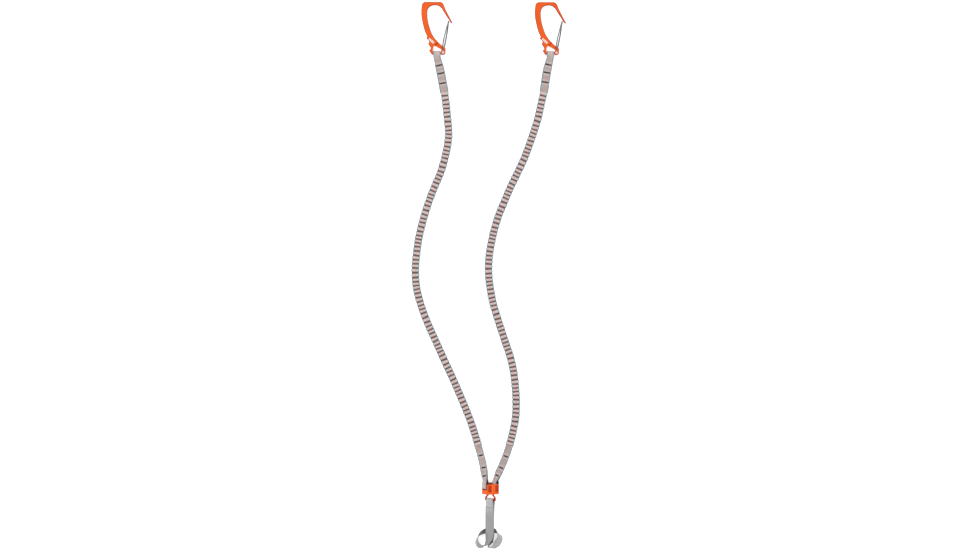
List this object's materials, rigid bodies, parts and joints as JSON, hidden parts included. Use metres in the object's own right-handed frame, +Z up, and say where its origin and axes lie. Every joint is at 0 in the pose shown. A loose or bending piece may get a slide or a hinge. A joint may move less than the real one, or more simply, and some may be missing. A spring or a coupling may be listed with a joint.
{
  "type": "double elastic tool leash",
  "caption": "V-shaped elastic leash for hand tools: pleated elastic webbing arms with small wire-gate clips, joined by a swivel with a shackle and a webbing sling.",
  "frame": {"origin": "middle of the outline of the clips, swivel and sling, on the surface that the leash lies on", "axes": "+Y from the sling towards the clips, +X to the right with the gates on the right, +Z up from the surface"},
  "size_m": [0.2254, 0.8005, 0.0241],
  "materials": {
    "orange_alloy": "bright orange anodised forging, satin, darker at the edges",
    "red_orange_steel": "dark red-orange coated steel, semi-gloss",
    "gate_wire": "drawn stainless wire, polished",
    "grey_tube_webbing": "fine woven tubular webbing, matte, with an orange tracer stripe",
    "grey_sling_webbing": "flat woven webbing, matte",
    "dark_thread": "dense bar tack stitching",
    "pale_thread": "dense bar tack stitching",
    "elastic": "ribbed elastic strip",
    "nylon": "plain washer plastic"
  },
  "bodies": {
    "swivel": {"swivel_body": "orange_alloy", "left_lower_webbing_eye": "grey_tube_webbing", "left_lower_bar_tack_1": "dark_thread", "left_lower_bar_tack_2": "dark_thread", "left_lower_bar_tack_3": "dark_thread", "right_lower_webbing_eye": "grey_tube_webbing", "right_lower_bar_tack_1": "dark_thread", "right_lower_bar_tack_2": "dark_thread", "right_lower_bar_tack_3": "dark_thread"},
    "spindle": {"swivel_axle": "red_orange_steel", "upper_washer": "nylon", "lower_washer": "nylon", "shackle": "red_orange_steel"},
    "sling": {"sling": "grey_sling_webbing", "sling_bar_tack": "pale_thread"},
    "left_arm": {"left_pleated_sheath": "grey_tube_webbing", "left_elastic_core": "elastic"},
    "left_arm_end": {"left_upper_webbing_eye": "grey_tube_webbing", "left_upper_bar_tack_1": "dark_thread", "left_upper_bar_tack_2": "dark_thread", "left_upper_bar_tack_3": "dark_thread"},
    "left_clip": {"left_clip_frame": "orange_alloy"},
    "left_gate": {"left_wire_gate": "gate_wire"},
    "right_arm": {"right_pleated_sheath": "grey_tube_webbing", "right_elastic_core": "elastic"},
    "right_arm_end": {"right_upper_webbing_eye": "grey_tube_webbing", "right_upper_bar_tack_1": "dark_thread", "right_upper_bar_tack_2": "dark_thread", "right_upper_bar_tack_3": "dark_thread"},
    "right_clip": {"right_clip_frame": "orange_alloy"},
    "right_gate": {"right_wire_gate": "gate_wire"}
  },
  "joints": [
    {"name": "swivel_spin", "type": "hinge", "parent": "swivel", "child": "spindle", "pos_m": [-0.0048, -0.305, 0.0124], "axis": [0, 1, 0], "continuous": true},
    {"name": "sling_pivot", "type": "hinge", "parent": "spindle", "child": "sling", "pos_m": [-0.0048, -0.3283, 0.0124], "axis": [0.766, 0, 0.6428], "range_deg": [-95, 0]},
    {"name": "left_arm_swing", "type": "hinge", "parent": "swivel", "child": "left_arm", "pos_m": [-0.031, -0.221, 0.0031], "axis": [0, 0, 1], "range_deg": [-5, 60]},
    {"name": "left_arm_stretch", "type": "slide", "parent": "left_arm", "child": "left_arm_end", "axis": [-0.095, 0.9955, 0], "range_m": [0, 0.45], "stiffness_N_per_m": 45, "deforming": ["left_pleated_sheath", "left_elastic_core"]},
    {"name": "left_clip_pivot", "type": "hinge", "parent": "left_arm_end", "child": "left_clip", "pos_m": [-0.0831, 0.3255, 0.0031], "axis": [1, 0, 0], "range_deg": [0, 105]},
    {"name": "left_gate_hinge", "type": "hinge", "parent": "left_clip", "child": "left_gate", "pos_m": [-0.0746, 0.3308, 0.0031], "axis": [0, 0, 1], "range_deg": [0, 32], "stiffness_Nm_per_rad": 0.1, "springref_deg": -45.84},
    {"name": "right_arm_swing", "type": "hinge", "parent": "swivel", "child": "right_arm", "pos_m": [0.03, -0.221, 0.0031], "axis": [0, 0, 1], "range_deg": [-60, 5]},
    {"name": "right_arm_stretch", "type": "slide", "parent": "right_arm", "child": "right_arm_end", "axis": [0.097, 0.9953, 0], "range_m": [0, 0.45], "stiffness_N_per_m": 45, "deforming": ["right_pleated_sheath", "right_elastic_core"]},
    {"name": "right_clip_pivot", "type": "hinge", "parent": "right_arm_end", "child": "right_clip", "pos_m": [0.083, 0.3251, 0.0031], "axis": [1, 0, 0], "range_deg": [0, 105]},
    {"name": "right_gate_hinge", "type": "hinge", "parent": "right_clip", "child": "right_gate", "pos_m": [0.0915, 0.3304, 0.0031], "axis": [0, 0, 1], "range_deg": [0, 32], "stiffness_Nm_per_rad": 0.1, "springref_deg": -45.84}
  ]
}
